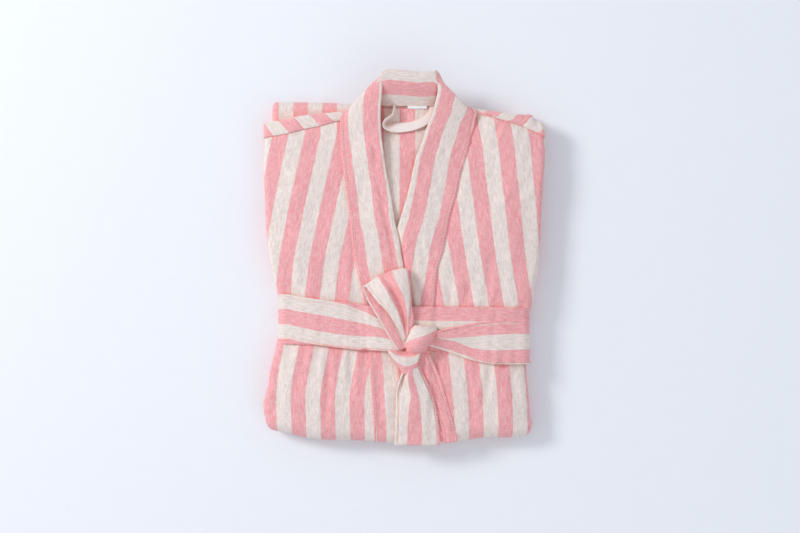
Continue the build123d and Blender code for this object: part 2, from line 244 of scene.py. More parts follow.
def beside(distance, width):
    """A shallow ditch next to a seam, distance being positive on its low side."""
    return smooth((distance + 2.5) / 2.5) * np.exp(-((np.maximum(distance, 0) / width) ** 2))


def seam_ditches(x, y):
    fronts = smooth((y + 226) / 6.0)
    ditch = 1.1 * fronts * (beside(seam_right(y) - x, 3.0) + beside(x - seam_left(y), 3.4))
    shoulders = beside(shoulder_right(x) - y, 4.5) * (x < -62)
    shoulders = shoulders + beside(shoulder_left(x) - y, 4.0) * (x > 84)
    return ditch + shoulders


def top_height(x, y):
    return base_height(x, y) + wrinkles(x, y) - seam_ditches(x, y)


def skin(x, y):
    """Upper face of whatever cloth lies on top: the fronts or a collar band."""
    x, y = np.broadcast_arrays(np.asarray(x, float), np.asarray(y, float))
    over = smooth((x - seam_right(y) + 3) / 4.0) * smooth((inner_right(y) + 3 - x) / 4.0)
    under = smooth((x - inner_left(y) + 3) / 4.0) * smooth((seam_left(y) + 3 - x) / 4.0)
    return top_height(x, y) + np.maximum(2.1 * over, 1.9 * under)


def under_height(x, y):
    """Lower face of the bundle: flat on the floor, pressed in by the bands and the belt."""
    bands = smooth((x + 36) / 10.0) * smooth((60 - x) / 10.0)
    return 0.25 + 3.4 * bands + 3.6 * np.exp(-(((y - belt_middle(x)) / 36.0) ** 6))


def bundle_point(x, u, out):
    """Point of the folded robe. u runs 0 to 1 down the front, 1 to 2 round the bottom fold,
    2 to 3 up the underside, 3 to 4 round the skirt's upper fold and 4 to 5 down to the hem.
    out is the height over the outer face of the cloth."""
    x, u, out = np.broadcast_arrays(np.asarray(x, float), np.asarray(u, float), np.asarray(out, float))
    edge = bottom_edge(x)
    z_fold = top_height(x, edge + TOP / 2)
    z_low = under_height(x, edge + 15)
    radius = (z_fold - z_low) / 2
    y_turn = edge + radius
    y_top = FRONT_TOP_Y + u * (y_turn - FRONT_TOP_Y)
    angle = np.clip(u - 1, 0, 1) * math.pi
    y_bend = y_turn - (radius + out) * np.sin(angle)
    z_bend = z_low + radius + (radius + out) * np.cos(angle)
    y_fold = skirt_edge(x) - SKIRT_RADIUS
    y_under = y_turn + np.clip(u - 2, 0, 1) * (y_fold - y_turn)
    angle_top = np.clip(u - 3, 0, 1) * math.pi
    y_tuck = y_fold + (SKIRT_RADIUS + out) * np.sin(angle_top)
    z_tuck = SKIRT_RADIUS - (SKIRT_RADIUS + out) * np.cos(angle_top)
    z_tuck = z_tuck + z_low * (1 + np.cos(angle_top)) / 2
    y_hem = y_fold + np.clip(u - 4, 0, 1) * (HEM_Y - y_fold)
    y = np.select([u < 1, u < 2, u < 3, u < 4], [y_top, y_bend, y_under, y_tuck], y_hem)
    z = np.select([u < 1, u < 2, u < 3, u < 4],
                  [top_height(x, y_top) + out, z_bend, under_height(x, y_under) - out, z_tuck],
                  HEM_Z - 0.4 + out)
    return np.stack([x, y, z], axis=-1)


def edge_at(side, u):
    """Where the bundle's side lies at a station u; the lower layers keep inside the front."""
    outline = left_edge if side < 0 else right_edge
    y_low = np.where(u < 4, FRONT_LOW_Y + (u - 2.0) * 389.0, 180.0 - (u - 4.0) * 350.0)
    y = np.where(u < 1, y_of(u), np.where(u < 2, FRONT_LOW_Y, y_low))
    skirt = -161.0 if side < 0 else 158.0
    within = smooth((168.0 - y) / 30.0) * (u > 2)
    narrow = np.where(side < 0, np.maximum(skirt, outline(y)), np.minimum(skirt, outline(y)))
    lower = skirt * (1 - within) + (narrow - side * 0.8) * within
    turn = smooth(u - 1.0)
    fold = float(outline(FRONT_LOW_Y))
    bend = fold * (1 - turn) + (fold - side * 1.5) * turn
    return np.where(u < 1, outline(y), np.where(u < 2, bend, lower))


def y_of(u):
    """About where a station on the front lies along the robe."""
    return FRONT_TOP_Y + u * (FRONT_LOW_Y - FRONT_TOP_Y)


def u_of(y):
    """The station on the front at a place along the robe."""
    return (FRONT_TOP_Y - y) / (FRONT_TOP_Y - FRONT_LOW_Y)


def stations(start, end, step=STEP):
    """Stations from start to end, closer together where the path bends."""
    lengths = (399.0, 58.0, 390.0, 33.0, 350.0)  # of the path's five parts
    paces = (step, 2.9, 6.0, 2.8, 9.0)
    marks = [start]
    while marks[-1] < end - 1e-6:
        part = min(int(marks[-1] + 1e-6), 4)
        pace = paces[part]
        marks.append(min(marks[-1] + pace / lengths[part], part + 1.0, end))
    return np.array(marks)


# ------------------------------------------------------------------ meshes
def rounded_sheet(name, grid, uv, thickness, slot="striped_cotton", body="robe", uv_inner=None,
                  relief=None, stands_for_node=True):
    """Closed cloth mesh from a grid of points on its outer face, with rounded rims.
    uv holds each grid point's place on the flat cloth, in millimetres; uv_inner does the same
    for the inner face of a doubled piece, whose stripes differ. relief raises the outer face.
    A piece without a body is left unattached, and its caller bakes its placement into the mesh."""
    grid = np.asarray(grid, float)
    rows, cols = grid.shape[:2]
    normal = unit(np.cross(np.gradient(grid, axis=0), np.gradient(grid, axis=1)))
    inner = grid - normal * thickness
    if relief is not None:
        grid = grid + normal * relief[..., None]
    ring = [(0, j) for j in range(cols)] + [(i, cols - 1) for i in range(1, rows)]
    ring += [(rows - 1, j) for j in range(cols - 2, -1, -1)] + [(i, 0) for i in range(rows - 2, 0, -1)]
    ring = np.array(ring)
    outer_ring, inner_ring = grid[ring[:, 0], ring[:, 1]], inner[ring[:, 0], ring[:, 1]]
    mid = (outer_ring + inner_ring) / 2
    tangent = np.roll(mid, -1, 0) - np.roll(mid, 1, 0)
    outward = unit(np.cross(tangent, outer_ring - inner_ring))
    centre_in = grid[np.clip(ring[:, 0], 1, rows - 2), np.clip(ring[:, 1], 1, cols - 2)]
    flip = np.sign(((mid - centre_in) * outward).sum(1, keepdims=True))
    mid = mid + outward * np.where(flip == 0, 1, flip) * thickness * 0.35
    count = rows * cols
    points = np.concatenate([grid.reshape(-1, 3), inner.reshape(-1, 3), mid]) * MM
    index = np.arange(count).reshape(rows, cols)
    a, b, c, d = index[:-1, :-1], index[1:, :-1], index[1:, 1:], index[:-1, 1:]
    faces = [np.stack([a, b, c, d], -1).reshape(-1, 4),
             np.stack([a, d, c, b], -1).reshape(-1, 4) + count]
    ring_index = index[ring[:, 0], ring[:, 1]]
    mid_index = np.arange(len(ring)) + 2 * count
    nxt = np.roll(np.arange(len(ring)), -1)
    faces.append(np.stack([ring_index, ring_index[nxt], mid_index[nxt], mid_index], -1))
    faces.append(np.stack([mid_index, mid_index[nxt], ring_index[nxt] + count, ring_index + count], -1))
    faces = np.concatenate(faces)
    mesh = bpy.data.meshes.new(name)
    mesh.vertices.add(len(points))
    mesh.vertices.foreach_set("co", points.ravel())
    mesh.loops.add(faces.size)
    mesh.loops.foreach_set("vertex_index", faces.ravel().astype(np.int32))
    mesh.polygons.add(len(faces))
    mesh.polygons.foreach_set("loop_start", np.arange(0, faces.size, 4, dtype=np.int32))
    mesh.polygons.foreach_set("loop_total", np.full(len(faces), 4, dtype=np.int32))
    mesh.polygons.foreach_set("use_smooth", np.ones(len(faces), bool))
    mesh.update(calc_edges=True)
    flat = np.asarray(uv, float).reshape(-1, 2)
    flat_inner = flat if uv_inner is None else np.asarray(uv_inner, float).reshape(-1, 2)
    per_point = np.concatenate([flat, flat_inner, flat[ring_index]]) * MM
    layer = mesh.uv_layers.new(name="cloth")
    layer.data.foreach_set("uv", per_point[faces.ravel()].astype(np.float32).ravel())
    piece = bpy.data.objects.new(name + "_cloth", mesh)
    bpy.context.scene.collection.objects.link(piece)
    mesh.materials.append(materials[slot])
    if body:
        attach(piece, body)
    if stands_for_node:
        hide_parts(name)
    return piece


def stitched_edge(distance, inset):
    """Height of a doubled strip near a topstitched edge: a soft rim and the stitches' groove."""
    return (0.35 * np.exp(-(((distance - inset * 0.45) / (inset * 0.3)) ** 2))
            - 0.85 * np.exp(-(((distance - inset) / 0.95) ** 2)))


def strip_relief(uv, inset):
    """The same along both edges of a strip."""
    u = uv[..., 0]
    return stitched_edge(u - u.min(), inset) + stitched_edge(u.max() - u, inset)


def line_on(grid, inset, last=False):
    """Points on a grid at a distance inset from its first or last column, and their normals."""
    if last:
        grid = grid[:, ::-1]
    arc = across_rows(grid)
    points = np.array([[np.interp(inset, far, row[:, k]) for k in range(3)]
                       for far, row in zip(arc, grid)])
    k = int(np.searchsorted(arc[len(grid) // 2], inset))
    along_row = np.gradient(points, axis=0)
    across = grid[:, min(k + 1, grid.shape[1] - 1)] - grid[:, max(k - 1, 0)]
    return points, unit(np.cross(along_row, across))


def running_length(grid):
    """Length along the rows, measured down the middle column, for the cloth's v."""
    return distances(grid[:, grid.shape[1] // 2])


def guided(guides, rows, per_gap, u_marks, inner_marks=None):
    """Grid between guide curves that follow the front. Each guide is a list of (x, y, z);
    u_marks is the place of each guide across the flat cloth, inner_marks the same for its inner
    face. Returns the grid and its two uvs."""
    guides = [[(x, y, z - float(skin(x, y))) for x, y, z in g] for g in guides]
    curves = np.stack([along(g, rows) for g in guides], axis=1)
    places = np.concatenate([np.linspace(a, b, n, endpoint=False)
                             for a, b, n in zip(range(len(guides) - 1), range(1, len(guides)), per_gap)]
                            + [[len(guides) - 1]])
    # extra columns near both edges, for the stitched rims
    insets = np.array([0.8, 1.6, 2.4, 3.2, 4.0, 5.0])
    order = range(len(guides))
    near_first = np.interp(u_marks[0] + insets, u_marks, order)
    near_last = np.interp(u_marks[-1] - insets, u_marks, order)
    places = np.unique(np.round(np.concatenate([places, near_first, near_last]), 3))
    grid = np.stack([spline([(k, row[k]) for k in range(len(guides))])(places) for row in curves])
    grid[..., 2] += skin(grid[..., 0], grid[..., 1])
    v = running_length(grid)
    uvs = []
    for values in (u_marks, inner_marks or u_marks):
        marks = np.interp(places, range(len(guides)), values)
        uvs.append(on_cloth(marks[None, :], v[:, None]))
    return grid, uvs[0], uvs[1]


# ------------------------------------------------------------------ materials
PINK = (0.960, 0.480, 0.500, 1)
PINK_DEEP = (0.880, 0.300, 0.330, 1)
CREAM = (0.800, 0.660, 0.600, 1)
CREAM_LIGHT = (0.940, 0.850, 0.810, 1)
STRAP_CREAM = (0.90, 0.82, 0.79, 1)
# painted shade: this tint multiplies the base colour in the cloth's hollows
HOLLOW_SHADE_TINT = (1.10, 0.90, 0.84, 1)  # tint of the cloth's hollows


def nodes_of(name, roughness, sheen):
    made = bpy.data.materials.new(name)
    made.use_nodes = True
    tree = made.node_tree
    shader = tree.nodes["Principled BSDF"]
    shader.inputs["Roughness"].default_value = roughness
    shader.inputs["Sheen Weight"].default_value = sheen
    shader.inputs["Sheen Roughness"].default_value = 0.5
    shader.inputs["Specular IOR Level"].default_value = 0.25
    return made, tree, shader


class Tree:
    """Short forms for building a node tree."""

    def __init__(self, tree):
        self.tree = tree

    def put(self, kind, **settings):
        node = self.tree.nodes.new(kind)
        for key, value in settings.items():
            setattr(node, key, value)
        return node

    def feed(self, socket, value):
        if isinstance(value, bpy.types.NodeSocket):
            self.tree.links.new(value, socket)
        else:
            socket.default_value = value

    def maths(self, operation, *values, clamp=False):
        node = self.put("ShaderNodeMath", operation=operation, use_clamp=clamp)
        for socket, value in zip(node.inputs, values):
            self.feed(socket, value)
        return node.outputs[0]

    def vector(self, x, y, z=0.0):
        node = self.put("ShaderNodeCombineXYZ")
        for socket, value in zip(node.inputs, (x, y, z)):
            self.feed(socket, value)
        return node.outputs[0]

    def noise(self, vector, scale, detail=2.0, rough=0.5):
        node = self.put("ShaderNodeTexNoise")
        self.feed(node.inputs["Vector"], vector)
        self.feed(node.inputs["Scale"], scale)
        self.feed(node.inputs["Detail"], detail)
        self.feed(node.inputs["Roughness"], rough)
        return node.outputs["Fac"]

    def mix(self, factor, one, two, blend="MIX"):
        node = self.put("ShaderNodeMix", data_type="RGBA", blend_type=blend)
        self.feed(node.inputs[0], factor)
        self.feed(node.inputs[6], one)
        self.feed(node.inputs[7], two)
        return node.outputs[2]

    def total(self, start, *parts):
        """start plus each part times its share."""
        for part, share in parts:
            start = self.maths("ADD", start, self.maths("MULTIPLY", part, share))
        return start

    def ramp(self, value, low, high):
        """value stretched so that low to high becomes 0 to 1."""
        return self.maths("MULTIPLY_ADD", value, 1 / (high - low), -low / (high - low), clamp=True)


def woven(name, plain=None):
    """Slubby plain-weave cotton with stripes along v, or in one shade from plain up."""
    made, tree, shader = nodes_of(name, 0.88, 0.25)
    t = Tree(tree)
    coords = t.put("ShaderNodeSeparateXYZ")
    t.feed(coords.inputs[0], t.put("ShaderNodeUVMap", uv_map="cloth").outputs[0])
    u, v = coords.outputs[0], coords.outputs[1]

    def threads_noise(per_u, per_v, offset, detail):
        stretched = t.vector(t.maths("MULTIPLY", u, per_u), t.maths("MULTIPLY", v, per_v), offset)
        return t.noise(stretched, 1.0, detail)

    slub = threads_noise(900.0, 90.0, 0.0, 3.0)
    weft = threads_noise(80.0, 800.0, 7.0, 3.0)
    fleck = threads_noise(1500.0, 1100.0, 3.0, 2.0)
    patch = threads_noise(420.0, 150.0, 11.0, 2.0)
    cloud = t.noise(t.vector(u, v, 1.0), 28.0, 3.0)
    warp_wave = t.maths("SINE", t.maths("MULTIPLY", u, 2 * math.pi / WARP_PITCH))
    weft_wave = t.maths("SINE", t.maths("MULTIPLY", v, 2 * math.pi / WEFT_PITCH))
    weave = t.maths("MULTIPLY", warp_wave, weft_wave)
    if plain:
        colour = t.mix(t.ramp(slub, 0.3, 0.75), plain, CREAM_LIGHT)
    else:
        # each weft thread shifts the stripe's edge a little
        jitter = t.maths("MULTIPLY", t.maths("SUBTRACT", weft, 0.5), 0.0009)
        wave = t.maths("SINE", t.maths("MULTIPLY", t.maths("ADD", u, jitter), math.pi / (STRIPE * MM)))
        pink = t.ramp(wave, -0.055, 0.055)
        light = t.maths("MULTIPLY", t.ramp(fleck, 0.48, 0.70), 0.5)
        tone = t.maths("ADD", t.maths("MULTIPLY", slub, 0.5), t.maths("MULTIPLY", patch, 0.5))
        pink_shade = t.mix(t.ramp(tone, 0.38, 0.62), PINK_DEEP, PINK)
        pink_shade = t.mix(light, pink_shade, CREAM_LIGHT)
        cream_shade = t.mix(t.ramp(tone, 0.36, 0.64), CREAM, CREAM_LIGHT)
        colour = t.mix(pink, cream_shade, pink_shade)
    shade = t.total(0.80, (weft, 0.20), (slub, 0.14), (cloud, 0.06), (weave, 0.035))
    grey = t.put("ShaderNodeCombineColor")
    for socket in grey.inputs[:3]:
        t.feed(socket, shade)
    colour = t.mix(1.0, colour, grey.outputs[0], "MULTIPLY")
    # painted shade: where ambient occlusion finds a hollow the base colour is tinted darker and redder,
    # standing in for shade and for light bounced through the thin pink cloth
    hollow = t.put("ShaderNodeAmbientOcclusion", samples=8)
    hollow.inputs["Distance"].default_value = 0.03
    painted_hollow_shade = t.mix(t.ramp(hollow.outputs["AO"], 0.35, 0.95), HOLLOW_SHADE_TINT, (1, 1, 1, 1))
    t.feed(shader.inputs["Base Color"], t.mix(1.0, colour, painted_hollow_shade, "MULTIPLY"))
    bump = t.put("ShaderNodeBump")
    bump.inputs["Strength"].default_value = 0.55
    bump.inputs["Distance"].default_value = 0.0004
    relief = t.total(0.0, (weave, 0.5), (slub, 0.9), (weft, 0.9), (fleck, 0.5))
    t.feed(bump.inputs["Height"], relief)
    t.feed(shader.inputs["Normal"], bump.outputs[0])
    return made


def thread_material(name, colour):
    """Sewing thread, a little darker in its twist."""
    made, tree, shader = nodes_of(name, 0.7, 0.3)
    t = Tree(tree)
    twist = t.noise(t.put("ShaderNodeTexCoord").outputs["Object"], 2500.0, 2.0)
    darker = tuple(c * 0.82 for c in colour[:3]) + (1,)
    t.feed(shader.inputs["Base Color"], t.mix(twist, darker, colour))
    return made


def label_material(name):
    """Tightly woven white tape with a satin shine, no text."""
    made, tree, shader = nodes_of(name, 0.5, 0.2)
    t = Tree(tree)
    coords = t.put("ShaderNodeSeparateXYZ")
    t.feed(coords.inputs[0], t.put("ShaderNodeUVMap", uv_map="cloth").outputs[0])
    ribs = t.maths("SINE", t.maths("MULTIPLY", coords.outputs[1], 2 * math.pi / 0.0005))
    white = t.mix(t.ramp(ribs, -1, 1), (0.80, 0.81, 0.82, 1), (0.93, 0.93, 0.93, 1))
    t.feed(shader.inputs["Base Color"], white)
    return made


def floor_material():
    made, tree, shader = nodes_of("pale_floor", 0.6, 0.0)
    t = Tree(tree)
    spots = t.noise(t.put("ShaderNodeTexCoord").outputs["Object"], 40.0, 3.0)
    pale = t.mix(spots, (0.845, 0.870, 0.925, 1), (0.865, 0.890, 0.940, 1))
    t.feed(shader.inputs["Base Color"], pale)
    return made


materials = {
    "striped_cotton": woven("striped_cotton"),
    "cream_cotton": woven("cream_cotton", STRAP_CREAM),
    "label_tape": label_material("label_tape"),
    "sewing_thread": thread_material("sewing_thread", (0.97, 0.79, 0.78, 1)),
    "overlock_thread": thread_material("overlock_thread", (0.80, 0.42, 0.42, 1)),
}


# ------------------------------------------------------------------ front and back panels
# Stripe boundaries on the two fronts: x of one pink stripe's left side, down the robe.
grain_right = spline([(150, -82), (110, -91), (70, -100), (21, -110), (-3, -115), (-27, -118),
                      (-47, -120), (-113, -128), (-174, -138), (-212, -137)])
grain_left = spline([(172, 70), (160, 71.5), (141, 75), (119, 78), (95, 80.5), (70, 84), (21, 90),
                     (-27, 97.5), (-47, 101), (-137, 110), (-174, 113.5), (-212, 115)])
spread = spline([(170, 1.03), (70, 1.0), (-27, 0.95), (-113, 0.95), (-212, 0.94)])


def stripe_place(side, x, u):
    """Where a point of a front lies across the stripes."""
    grain = grain_right if side < 0 else grain_left
    y = y_of(np.minimum(u, 1.0))
    drift = 1.0 * smooth((u - 2.0) / 1.0)
    return (x - grain(y) - drift) / spread(y)


def front_panel(side, name):
    """A front from its collar seam round the side fold to the side seam, over all three thirds."""
    us = stations(0.0, 5.0)
    seam = seam_right if side < 0 else seam_left
    straight = float(seam(FRONT_LOW_Y))
    seam_x = np.where(us < 1, seam(y_of(us)), straight) - side * SEAM_ALLOWANCE
    radius = SIDE_RADIUS - 0.6 * smooth(us - 1) + 2.4 * np.exp(-(((us - 1.5) / 0.7) ** 4))
    radius = radius[:, None]
    flat_end = edge_at(side, us)[:, None] - side * radius
    across = 46
    f = np.linspace(0, 1, across)
    turn = np.linspace(0, math.pi, 10)[1:]
    g = np.linspace(0, 1, 14)[1:]
    x_flat = seam_x[:, None] * (1 - f) + flat_end * f
    x_turn = flat_end + side * radius * np.sin(turn)
    x_flap = flat_end * (1 - g) + side * FLAP_END * g
    x = np.concatenate([x_flat, x_turn, x_flap], axis=1)
    out_turn = -radius + radius * np.cos(turn)
    out_flap = np.repeat(-2 * radius, len(g), axis=1)
    out = np.concatenate([np.zeros_like(x_flat), out_turn, out_flap], axis=1)
    u = np.repeat(us[:, None], x.shape[1], axis=1)
    # the top row follows the shoulder seam
    shoulder = shoulder_right if side < 0 else shoulder_left
    u_start = u_of(shoulder(x))
    u = np.where(u < 1, u_start + (1 - u_start) * u, u)
    grid = bundle_point(x, u, out)
    # round the side fold the stripes go on by the length of the cloth
    stripe = stripe_place(side, x, u)
    stripe[:, across:] = stripe[:, across - 1:across] + side * across_rows(grid[:, across - 1:])[:, 1:]
    uv = on_cloth(stripe, running_length(grid)[:, None])
    if side > 0:
        grid, uv = flipped(grid, uv)
    rounded_sheet(name, grid, uv, CLOTH)


def neck_rise(x, y):
    """The inside of the back stands up a little between the two bands."""
    rise = (2.4 - 0.8 * smooth((y - 140) / 25.0)) * smooth((y - 48) / 30.0)
    return rise * smooth((x + 34) / 12.0) * smooth((42 - x) / 12.0)


def back_panel():
    """The back: its inside shows in the neck; it lies inside the fronts in all three thirds."""
    us = stations(0.0, 5.0, 4.0)
    inset = 2.2
    radius = SIDE_RADIUS - inset
    turn = np.linspace(0, math.pi, 7)
    g = np.linspace(0, 1, 8)[1:]
    mid = np.linspace(0, 1, 76)[1:-1]
    left_x = edge_at(-1, us)[:, None] + inset + radius
    right_x = edge_at(1, us)[:, None] - inset - radius
    x = np.concatenate([
        left_x * (1 - g[::-1]) - FLAP_END * g[::-1],
        left_x - radius * np.sin(turn[::-1]),
        left_x * (1 - mid) + right_x * mid,
        right_x + radius * np.sin(turn),
        right_x * (1 - g) + FLAP_END * g], axis=1)
    flap = np.full(len(g), -2 * radius)
    around = np.concatenate([flap, -radius + radius * np.cos(turn[::-1]), np.zeros(len(mid)),
                             -radius + radius * np.cos(turn), flap])
    out = np.repeat(around[None, :] - inset, len(us), axis=0)
    u = np.repeat(us[:, None], x.shape[1], axis=1)
    y_front = y_of(np.minimum(u, 1))
    in_neck = (smooth((x + 66) / 20.0) * smooth((84 - x) / 20.0)) * (u < 1)
    drop = (BACK_DROP - inset) * in_neck * smooth((y_front + 60) / 60.0)
    out = out - drop + neck_rise(x, y_front) * (u < 1)
    at_neck = smooth((x + 52) / 12.0) * smooth((78 - x) / 12.0)
    u_start = u_of(187.4 * at_neck + (shoulder_top(x) - 8) * (1 - at_neck))
    u = np.where(u < 1, u_start + (1 - u_start) * u, u)
    grid = bundle_point(x, u, out)
    uv = on_cloth(x + 5.5, running_length(grid)[:, None])
    rounded_sheet("back_panel", grid, uv, CLOTH)


def shoulder_roll(side, name):
    """The part of the back that rolls over a shoulder to the seam on the front."""
    shoulder = shoulder_right if side < 0 else shoulder_left
    inner, outer = (-58.0, -172.0) if side < 0 else (82.0, 172.5)
    radius = 6.0
    turn = np.linspace(0, math.pi / 2, 8)
    flat_x = np.linspace(inner, outer - side * radius, 44)
    xs = np.concatenate([flat_x, (outer - side * radius + side * radius * np.sin(turn))[1:]])
    half = radius * np.concatenate([np.ones(len(flat_x)), np.cos(turn)[1:]])
    y_seam, y_top = shoulder(xs), shoulder_top(xs)
    middle_z = top_height(xs, y_seam) + 2.6 - radius
    fall = 1.2  # from the seam to the fold
    rows, phases = [], []
    for t in np.linspace(0, 1, 12):
        y = y_seam - 0.4 + (y_top - radius - y_seam) * t
        puff = 0.9 * math.sin(math.pi * t) * half / radius
        rows.append(np.stack([xs, y, middle_z + half + puff - fall * t], -1))
        phases.append(np.full_like(xs, t))
    for angle in np.linspace(0, math.pi, 10)[1:]:
        y = y_top - radius + radius * math.sin(angle)
        rows.append(np.stack([xs, y, middle_z - fall + half * math.cos(angle)], -1))
        phases.append(np.full_like(xs, 1 + angle * 0.6))
    for t in np.linspace(0, 1, 4)[1:]:
        rows.append(np.stack([xs, y_top - radius - 24 * t, middle_z - fall - half], -1))
        phases.append(np.full_like(xs, 2.9 + t))
    grid = np.array(rows)
    arc = np.concatenate([[0], np.cumsum(np.hypot(np.diff(xs), np.diff(half)))])
    start = -140.0 if side < 0 else 125.0
    stripe = (inner + side * arc)[None, :] - start - side * 8.5 * np.array(phases)
    uv = on_cloth(stripe, running_length(grid)[:, None])
    if side < 0:
        grid, uv = flipped(grid, uv)
    rounded_sheet(name, grid[::-1], uv[::-1], CLOTH, stands_for_node=False)


# ------------------------------------------------------------------ collar band
# Cross-sections of the band round the neck, from the neck's left corner to each front. Each
# gives four points: its folded edge, two on the roll and the seam.
BAND_MARKS = (0.0, 15.5, 34.5, 54.0)  # how far those points are from the folded edge
NECK_ROWS_RIGHT = [
    ((38, 224.6, 60.4), (39.3, 213.3, 55), (39.6, 199.5, 44.4), (39, 186.2, 32)),
    ((31, 223.8, 60.3), (32, 213.2, 55.3), (31.5, 198.6, 44.5), (31.5, 186, 32)),
    ((20, 223.2, 59.5), (20, 212.5, 55.5), (20, 198.6, 44.5), (20, 186, 32)),
    ((7, 224.5, 59.5), (7, 213, 55.5), (7, 198.6, 44.5), (7, 186, 32)),
    ((-8, 225.8, 59.5), (-8, 213, 55.5), (-8, 198.6, 44.5), (-8, 186, 32)),
    ((-20.5, 226.2, 59.5), (-21, 212.8, 55.5), (-22, 198.6, 44.5), (-23, 186.3, 32)),
    ((-26, 223.4, 59.3), (-30, 214.5, 55.5), (-31.5, 200.5, 44.5), (-31, 187, 32)),
    ((-27.5, 216.8, 58.5), (-37, 212.3, 54.3), (-39, 200.5, 44.8), (-38, 187, 32)),
    ((-27.3, 206, 57), (-42, 204.9, 54.5), (-49, 198, 46), (-48, 186, 32.5)),
    ((-27.8, 195.4, 55.5), (-43.1, 195.5, 54.3), (-57, 193, 47.5), (-60, 183, 33.5)),
    ((-29, 184.6, 53.5), (-44.4, 184.8, 52.8), (-61.7, 184.4, 48), (-70, 179, 36)),
    ((-29.3, 173, 50.5), (-44.7, 173, 50.3), (-63.3, 173.2, 46.5), (-77.2, 172, 38.5)),
    ((-28.9, 159.8, 47.2), (-44.3, 159.8, 47.4), (-62.8, 160, 44.5), (-77.8, 159.5, 38.6)),
]
NECK_ROWS_LEFT = [
    ((38.6, 225.6, 61.4), (44.8, 217.5, 56), (44.8, 201.5, 45.4), (41, 186.3, 32.4)),
    ((36.4, 219.8, 60.2), (46.5, 213.5, 55.6), (47.5, 200.5, 45.6), (43.5, 186.2, 32.4)),
    ((35.8, 213.6, 58.8), (48.8, 209.8, 55), (51.5, 199.5, 46), (48, 186, 32.4)),
    ((41.5, 209.6, 58.4), (52.3, 206.5, 54.6), (56, 197.5, 46.5), (53, 185.6, 32.7)),
    ((42.2, 203.2, 57), (55.8, 201.5, 54), (63, 194.5, 47), (60, 185, 33)),
    ((40, 193.5, 55.5), (55.2, 193.6, 54), (69.9, 189.4, 47.8), (74, 182.3, 35)),
    ((37.8, 184.4, 53.5), (53.2, 185, 52.8), (70.4, 185, 48), (84.3, 180.6, 37.5)),
    ((35.4, 174.3, 50.5), (50.8, 174.6, 50.2), (69, 175.7, 46.5), (88.3, 177, 38.8)),
    ((28.7, 158.8, 46.8), (44.1, 160.3, 47), (62.1, 162.4, 44.5), (86.1, 165.5, 38.8)),
]
FOLD_PLACE = -3.5  # where the folded edge lies across the stripes
BAND_SPREAD = 1.03  # the bias of the band widens its stripes a little
# How far the stripes drift away from the folded edge down the front.
drift_right = spline([(240, -0.9), (120, -0.9), (95, -0.7), (75, 0.6), (50, 2.6), (20, 3.0),
                      (0, 3.0), (-30, 2.2), (-60, 1.0), (-110, 0), (-240, 0)])
drift_left = spline([(240, 0), (150, 0), (125, 1.0), (100, 2.6), (60, 5.2), (20, 8.4), (0, 7.6),
                     (-20, 6), (-50, 1.2), (-80, 0), (-240, 0)])
NECK_LOW = 35.0  # the neck rows are pressed down towards this height
NECK_STAND = 0.8


